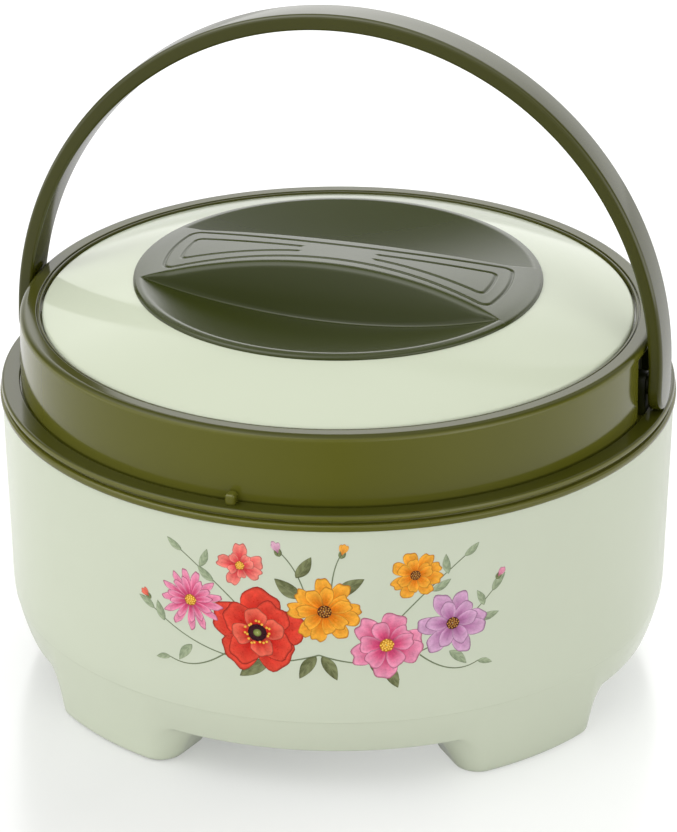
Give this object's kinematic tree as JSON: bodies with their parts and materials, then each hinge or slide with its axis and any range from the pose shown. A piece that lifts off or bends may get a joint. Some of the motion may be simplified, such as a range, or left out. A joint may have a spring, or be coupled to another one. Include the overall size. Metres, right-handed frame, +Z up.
{
  "type": "insulated casserole",
  "caption": "Round double-walled casserole with a steel bowl, feet, a swinging bail handle and an insulated lift-off lid with a pinch grip.",
  "frame": {"origin": "on the resting surface under the centre of the body", "axes": "+Z up; +X along the pivot line of the bail handle; the front, with the locating nub, faces -Y"},
  "size_m": [0.2518, 0.2518, 0.2511],
  "materials": {
    "mint_plastic": "satin gloss moulded",
    "pale_plastic": "high gloss moulded",
    "olive_plastic": "gloss moulded",
    "steel": "spun stainless",
    "foam": "rigid polyurethane foam"
  },
  "bodies": {
    "base": {"outer_body": "mint_plastic", "base_shell": "mint_plastic", "fill_plug": "mint_plastic", "body_foam": "foam", "inner_bowl": "steel", "collar_ring": "olive_plastic"},
    "lid": {"lid_skirt_ring": "olive_plastic", "lid_top_panel": "pale_plastic", "lid_grip_insert": "olive_plastic", "lid_foam": "foam", "lid_inner_cover": "steel"},
    "bail": {"bail_handle": "olive_plastic"}
  },
  "joints": [
    {"name": "bail_swing", "type": "hinge", "parent": "base", "child": "bail", "pos_m": [0, 0, 0.1222], "axis": [1, 0, 0], "range_deg": [-85.5, 94.5]},
    {"name": "lid_lift", "type": "slide", "parent": "base", "child": "lid", "axis": [0, 0, 1], "range_m": [0, 0.003]}
  ]
}
